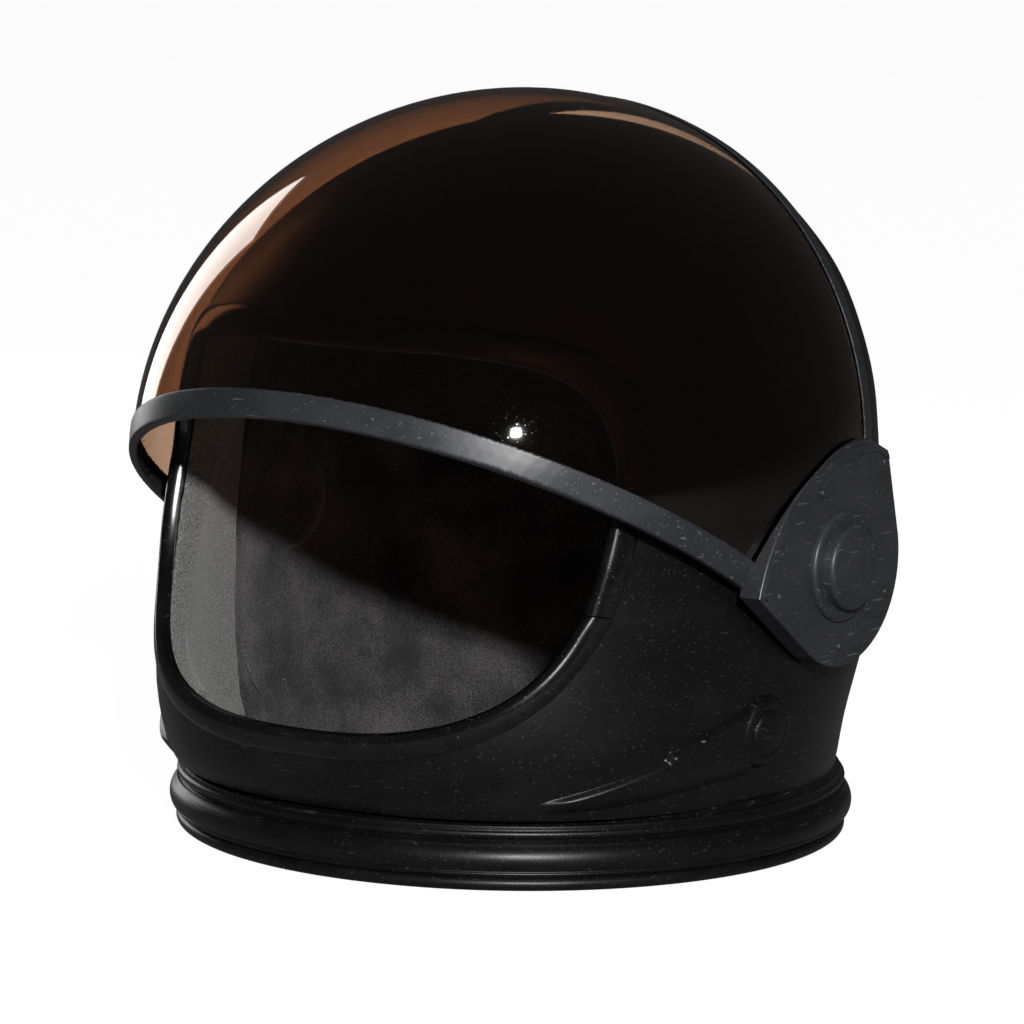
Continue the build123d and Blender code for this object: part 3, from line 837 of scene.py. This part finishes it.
smooth_up_to(trim, 40)
take_place(trim, "face_trim", "helmet")

# %% [markdown]
# ## The neck ring
# The ring is moulded with beads and steps, and each of them catches a thin line
# of light. It is the same all the way round, so its profile is drawn once, as
# distances from the middle and heights, and spun round the vertical axis. The
# profile keeps the CAD ring's outermost points and adds the small steps.

# %% Spin the neck ring
RING_STEPS = 288


def rounded(middle, radius, first, last, steps):
    """Points on an arc of the profile, from one angle to another."""
    points = []
    for step in range(steps + 1):
        turn = math.radians(first + (last - first) * step / steps)
        points.append((middle[0] + radius * math.cos(turn), middle[1] + radius * math.sin(turn)))
    return points


ring_profile = (
    [(130.0, 0.0), (130.0, 4.0), (133.2, 4.0), (133.2, 29.0), (137.3, 29.0), (138.2, 27.6)]
    + [(139.1, 26.8), (140.0, 26.4)]
    + rounded((140.1, 25.9), 0.5, 80, -10, 4)
    + [(140.7, 25.2), (141.2, 25.0)]
    + rounded((140.4, 22.9), 1.9, 62, -60, 12)
    + [(141.0, 20.3), (140.8, 19.8)]
    + [(141.3, 19.4), (142.3, 19.2)]
    + rounded((137.5, 12.5), 7.9, 48, -26, 16)
    + [(143.9, 8.6), (144.1, 8.2), (143.9, 7.9), (143.5, 7.8), (143.6, 7.4), (143.3, 7.0)]
    + [(142.4, 6.0), (141.5, 5.5)]
    + rounded((139.8, 2.8), 2.8, 62, -90, 14)
)
mesh = bpy.data.meshes.new("stepped_ring")
mesh.from_pydata(
    [(radius * MM, 0, height * MM) for radius, height in ring_profile],
    [(index, (index + 1) % len(ring_profile)) for index in range(len(ring_profile))],
    [],
)
ring = bpy.data.objects.new("stepped_ring", mesh)
bpy.context.scene.collection.objects.link(ring)
deselect_all()
ring.select_set(True)
bpy.context.view_layer.objects.active = ring
bpy.ops.object.mode_set(mode="EDIT")
bpy.ops.mesh.select_all(action="SELECT")
bpy.ops.mesh.spin(steps=RING_STEPS, angle=2 * math.pi, center=(0, 0, 0), axis=(0, 0, 1))
bpy.ops.mesh.select_all(action="SELECT")
bpy.ops.mesh.remove_doubles(threshold=0.01 * MM)
bpy.ops.mesh.normals_make_consistent(inside=False)
bpy.ops.object.mode_set(mode="OBJECT")
smooth_up_to(ring, 32)
take_place(ring, "neck_ring", "helmet")

# %% [markdown]
# ## The boom reliefs
# Low on each cheek the shell has a shape moulded in relief: a folded boom with
# a round hub. In the CAD shell its layers have square steps. In a real mould
# every step is blended, and the soft upper edge catches the light. Here a fine
# grid is laid over the left cheek. The plain cheek under it is found by fitting
# a smooth surface to rays that meet the shell beside the relief, and a height
# made of rounded steps is added to it. Where the height ends, the grid dips
# just under the shell, so the form seems to grow out of it.

# %% Lay the left relief
HUB_Y, HUB_Z = -19.0, 58.0
RELIEF_Y = (-117.0, -1.5)
RELIEF_Z = (31.0, 76.0)
FIT_DEGREE = 6
DIP = 0.3


def ease(low, high, value):
    """Nought below low, one above high, smooth in between."""
    share = min(1.0, max(0.0, (value - low) / (high - low)))
    return share * share * (3 - 2 * share)


def relief_height(y, z):
    """How far the relief stands out, in millimetres, seen from the side about its hub."""
    upper = float(np.interp(
        y, (-95, -86, -51, -50, -35.6, -10, 0), (-23, -19.9, -7, -3.7, 2.2, 10, 13)
    ))
    lower = float(np.interp(y, (-86, -49, -45.5, -11, 0), (-20, -16, -15, -12, -12)))
    arm = 2.5 * ease(-2.0, 0.6, upper - z) * ease(-7.0, 0.5, z - lower)
    arm *= ease(-96, -86, y) * (1 - ease(-8, 0, y))
    away = math.hypot(y, z)
    rim = 4.1 * max(0.0, 1 - ((away - 11.5) / 3.4) ** 2) ** 0.5
    plate = 3.15 * (1 - ease(13.4, 14.8, away))
    button = (4.5 + 0.9 * max(0.0, 1 - (away / 8.8) ** 2)) * (1 - ease(8.6, 9.7, away))
    pips = 0.0
    for pip_y, pip_z in ((-35.6, 0.2), (-49.0, -5.4)):
        near = math.hypot(y - pip_y, z - pip_z) / 2.3
        pips = max(pips, 3.8 * max(0.0, 1 - near ** 4) ** 0.5)
    return max(arm, rim, plate, button, pips)


def powers(y, z):
    """The terms of the smooth surface at a point of the side view."""
    u, v = (y + 60) / 60, (z - 55) / 30
    return [
        u ** i * v ** j for i in range(FIT_DEGREE + 1) for j in range(FIT_DEGREE + 1 - i)
    ]


shell_surface = surface_of("shell")
terms, depths = [], []
for y in range(-124, 6, 3):
    for z in range(31, 84, 3):
        met = shell_surface.ray_cast(Vector((0.2, y * MM, z * MM)), Vector((-1, 0, 0)))[0]
        if met is not None and relief_height(y - HUB_Y, z - HUB_Z) < 0.001:
            terms.append(powers(y, z))
            depths.append(met.x / MM)
cheek = np.linalg.lstsq(np.array(terms), np.array(depths), rcond=None)[0]
worst = float(np.abs(np.array(terms) @ cheek - np.array(depths)).max())
print("plain cheek fitted to", round(worst, 2), "mm")


def plain_cheek(y, z):
    """The plain cheek's distance from the middle plane."""
    return float(np.dot(powers(y, z), cheek))


deselect_all()
bpy.ops.mesh.primitive_grid_add(x_subdivisions=200, y_subdivisions=78, size=2)
relief_left = bpy.context.object
relief_left.name = "boom_relief_left"
mesh = bmesh.new()
mesh.from_mesh(relief_left.data)
heights = {}
for vertex in mesh.verts:
    y = RELIEF_Y[0] + (RELIEF_Y[1] - RELIEF_Y[0]) * (vertex.co.x + 1) / 2
    z = RELIEF_Z[0] + (RELIEF_Z[1] - RELIEF_Z[0]) * (vertex.co.y + 1) / 2
    height = relief_height(y - HUB_Y, z - HUB_Z)
    heights[vertex.index] = height
    middle = plain_cheek(y, z)
    slope_y = plain_cheek(y + 0.5, z) - plain_cheek(y - 0.5, z)
    slope_z = plain_cheek(y, z + 0.5) - plain_cheek(y, z - 0.5)
    leaning = math.sqrt(1 + slope_y ** 2 + slope_z ** 2)
    stand = height - DIP * (1 - ease(0, 0.5, height))
    vertex.co = Vector((middle + stand * leaning, y, z)) * MM
flat = [
    face for face in mesh.faces if all(heights[vertex.index] < 0.001 for vertex in face.verts)
]
bmesh.ops.delete(mesh, geom=flat, context="FACES")
if sum(face.normal.x for face in mesh.faces) < 0:
    bmesh.ops.reverse_faces(mesh, faces=mesh.faces)
mesh.to_mesh(relief_left.data)
mesh.free()
apply_place(relief_left)
apply_modifier(relief_left, "SMOOTH", factor=0.5, iterations=2)
apply_modifier(relief_left, "SOLIDIFY", thickness=1.2 * MM, offset=-1.0)
smooth_up_to(relief_left, 60)

# %% Mirror the relief to the right cheek
relief_right = relief_left.copy()
relief_right.data = relief_left.data.copy()
relief_right.name = "boom_relief_right"
bpy.context.scene.collection.objects.link(relief_right)
relief_right.scale.x = -1
apply_place(relief_right)
deselect_all()
bpy.context.view_layer.objects.active = relief_right
bpy.ops.object.mode_set(mode="EDIT")
bpy.ops.mesh.select_all(action="SELECT")
bpy.ops.mesh.flip_normals()
bpy.ops.object.mode_set(mode="OBJECT")
for relief in (relief_left, relief_right):
    finish_piece(relief, "shell_plastic")
    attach(relief, "helmet")
    print(relief.name, "faces:", len(relief.data.polygons))

# %% [markdown]
# ## The visor's bands
# The bands are plastic channels pressed on the visor's two rims, with edges
# that handling has rounded. Their CAD solids have square corners. Remeshing a
# copy of each into small even faces and relaxing them rounds every corner by
# about a millimetre and leaves the fit alone, which rounding spline edges one
# by one couldn't promise.

# %% Round the bands


def merged_copy(node, name):
    """A CAD node's mesh as a new object, with its loose triangles joined."""
    piece = bpy.data.objects.new(name, frame["nodes"][node].data.copy())
    bpy.context.scene.collection.objects.link(piece)
    deselect_all()
    piece.select_set(True)
    bpy.context.view_layer.objects.active = piece
    bpy.ops.object.mode_set(mode="EDIT")
    bpy.ops.mesh.select_all(action="SELECT")
    bpy.ops.mesh.remove_doubles(threshold=0.005 * MM)
    bpy.ops.object.mode_set(mode="OBJECT")
    return piece


def soften(piece, face_size, rounds):
    """Remesh into even faces and relax them, which rounds the corners."""
    apply_modifier(piece, "REMESH", mode="VOXEL", voxel_size=face_size)
    apply_modifier(piece, "SMOOTH", factor=0.5, iterations=rounds)
    deselect_all()
    piece.select_set(True)
    bpy.context.view_layer.objects.active = piece
    bpy.ops.object.shade_smooth()


for node, name in (("visor_lower_band", "lower_band"), ("visor_rear_band", "rear_band")):
    band = merged_copy(node, name)
    soften(band, 0.6 * MM, 5)
    take_place(band, node, "visor")

# %% [markdown]
# ## Cheek pads
# Each pad is a sheet of open foam cut with a blade and glued along the cheek.
# Its cut edges stay fairly crisp and its face is slightly wavy, because it was
# bent to the shell by hand. The CAD sheet has the right outline, so a remeshed
# copy of it is relaxed a little, and a slow cloud pattern moves its face by
# less than a millimetre. Its foot is first drawn down into the neck collar, as
# the photograph shows no gap between the pad and the trim.

# %% Make the cheek pads
FOAM_FACE = 1.4 * MM
HEM_TURN = 32.5 * MM
HEM_FOOT = 1.5 * MM
HEM_OUTSIDE = 129.5 * MM
HEM_INSIDE = 125.0 * MM
FLAT = 0.01 * MM


def add_waves(piece, name, size, depth):
    """Push the surface in and out by a slow cloud pattern."""
    clouds = bpy.data.textures.new(name, "CLOUDS")
    clouds.noise_scale = size
    apply_modifier(
        piece,
        "DISPLACE",
        texture=clouds,
        texture_coords="LOCAL",
        strength=depth,
        mid_level=0.5,
    )


def draw_hem(piece):
    """Draw a piece's flat foot down into the neck collar."""
    mesh = bmesh.new()
    mesh.from_mesh(piece.data)
    mesh.normal_update()
    foot = min(vertex.co.z for vertex in mesh.verts)
    lowest = [face for face in mesh.faces if max(v.co.z for v in face.verts) < foot + FLAT]
    radii = [vertex.co.xy.length for face in lowest for vertex in face.verts]
    print(piece.name, "foot at", round(foot / MM, 1), "mm, faces", len(lowest))
    middle = sum(radii) / len(radii)
    for height in (HEM_TURN, HEM_FOOT):
        grown = bmesh.ops.extrude_face_region(mesh, geom=lowest)
        bmesh.ops.delete(mesh, geom=lowest, context="FACES_ONLY")
        lowest = [item for item in grown["geom"] if isinstance(item, bmesh.types.BMFace)]
        for vertex in {v for face in lowest for v in face.verts}:
            spoke = Vector((vertex.co.x, vertex.co.y))
            outside = spoke.length > middle
            spoke = spoke.normalized() * (HEM_OUTSIDE if outside else HEM_INSIDE)
            vertex.co = Vector((spoke.x, spoke.y, height))
        middle = (HEM_OUTSIDE + HEM_INSIDE) / 2
    mesh.to_mesh(piece.data)
    mesh.free()


for side in ("left", "right"):
    pad = merged_copy("cheek_pad_" + side, "foam_pad_" + side)
    draw_hem(pad)
    soften(pad, FOAM_FACE, 3)
    add_waves(pad, "foam_waves_" + side, 30 * MM, 1.0 * MM)
    take_place(pad, "cheek_pad_" + side, "helmet")

# %% [markdown]
# ## Plush liner
# One wrap of plush over thin foam lines the back of the head. It is glued, so
# it follows the shell, but it rounds off at its edges and puckers a little.
# Below, its hem is tucked into the neck collar, and a flat pad of the same
# plush covers the nut inside each ear. The hem is drawn down from the wrap's
# lower edge, the two pads are joined on, and remeshing makes all of it one
# skin that relaxing rounds.

# %% Make the liner
NUT_PAD_RADIUS = 21.5 * MM

liner = merged_copy("rear_liner", "plush_liner")
draw_hem(liner)

pads = []
for side in (1, -1):
    deselect_all()
    bpy.ops.mesh.primitive_cylinder_add(
        vertices=64,
        radius=NUT_PAD_RADIUS,
        depth=6.4 * MM,
        location=(side * 133.0 * MM, 12 * MM, 124 * MM),
        rotation=(0, math.radians(90 * side), 0),
    )
    pad = bpy.context.object
    apply_place(pad)
    deselect_all()
    bpy.context.view_layer.objects.active = pad
    for face in pad.data.polygons:
        face.select = face.normal.x * side > 0.9
    bpy.ops.object.mode_set(mode="EDIT")
    bpy.ops.mesh.select_mode(type="FACE")
    bpy.ops.mesh.inset(thickness=2.6 * MM, depth=0)
    bpy.ops.mesh.inset(thickness=0.4 * MM, depth=-3.4 * MM)
    bpy.ops.object.mode_set(mode="OBJECT")
    pads.append(pad)
deselect_all()
for piece in pads + [liner]:
    piece.select_set(True)
bpy.context.view_layer.objects.active = liner
bpy.ops.object.join()
soften(liner, 1.7 * MM, 8)
add_waves(liner, "plush_waves", 42 * MM, 1.4 * MM)
take_place(liner, "rear_liner", "helmet")

# %% [markdown]
# ## Darts in the liner
# Low beside each cheek the plush is taken in with two darts, and their stitched
# ridges are the only bright lines inside the helmet. Each is a thin round cord
# under the cloth, so it is drawn as a smooth curve through a few points on the
# liner, given a round section and made a mesh.

# %% Sew the darts
DART_RADIUS = 0.8 * MM
DARTS = {
    "front": (
        (-133.6, -25, 76), (-130.4, -24, 61), (-128.6, -18, 46), (-126.4, -7, 30), (-125.8, 0, 17),
    ),
    "rear": ((-128.6, 4, 44), (-127.0, 6, 34), (-125.7, 8, 26), (-125.0, 12, 14)),
}

for side in (1, -1):
    for name, places in DARTS.items():
        line = bpy.data.curves.new("dart_" + name, "CURVE")
        line.dimensions = "3D"
        line.bevel_depth = DART_RADIUS
        line.bevel_resolution = 3
        line.use_fill_caps = True
        spline = line.splines.new("NURBS")
        spline.points.add(len(places) - 1)
        for point, (x, y, z) in zip(spline.points, places):
            point.co = (-side * x * MM, y * MM, z * MM, 1)
        spline.order_u = 3
        spline.use_endpoint_u = True
        drawn = bpy.data.objects.new("dart_drawn", line)
        bpy.context.scene.collection.objects.link(drawn)
        dart_mesh = bpy.data.meshes.new_from_object(drawn)
        bpy.data.objects.remove(drawn)
        dart = bpy.data.objects.new(
            "dart_" + name + ("_left" if side > 0 else "_right"), dart_mesh
        )
        bpy.context.scene.collection.objects.link(dart)
        smooth_up_to(dart, 60)
        finish_piece(dart, "black_plush")
        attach(dart, "helmet")
        print(dart.name, "faces:", len(dart.data.polygons))

# %% [markdown]
# ## Crown pad
# The pad over the crown is a sewn cushion: wedges of foam under plush, drawn
# in along the seams between them. The copy of the CAD cap is pulled up towards
# the shell along each seam and left full between seams, by a wave that runs
# round the crown.

# %% Make the crown pad
CROWN_WEDGES = 6
SEAM_DEPTH = 3.5 * MM
SEAM_SHARPNESS = 0.35

crown = merged_copy("crown_pad", "crown_cushion")
soften(crown, 2.4 * MM, 8)
low_corner, high_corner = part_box("crown_pad")
crown_middle = (low_corner + high_corner) / 2
mesh = bmesh.new()
mesh.from_mesh(crown.data)
mesh.normal_update()
for vertex in mesh.verts:
    if vertex.normal.z > 0:
        continue
    spoke = vertex.co - crown_middle
    angle = math.atan2(spoke.y, spoke.x)
    fullness = abs(math.sin(angle * CROWN_WEDGES / 2)) ** SEAM_SHARPNESS
    vertex.co -= vertex.normal * SEAM_DEPTH * (1 - fullness)
mesh.to_mesh(crown.data)
mesh.free()
apply_modifier(crown, "SMOOTH", factor=0.5, iterations=3)
take_place(crown, "crown_pad", "helmet")

# %% [markdown]
# ## End of the scene

print("scene built")
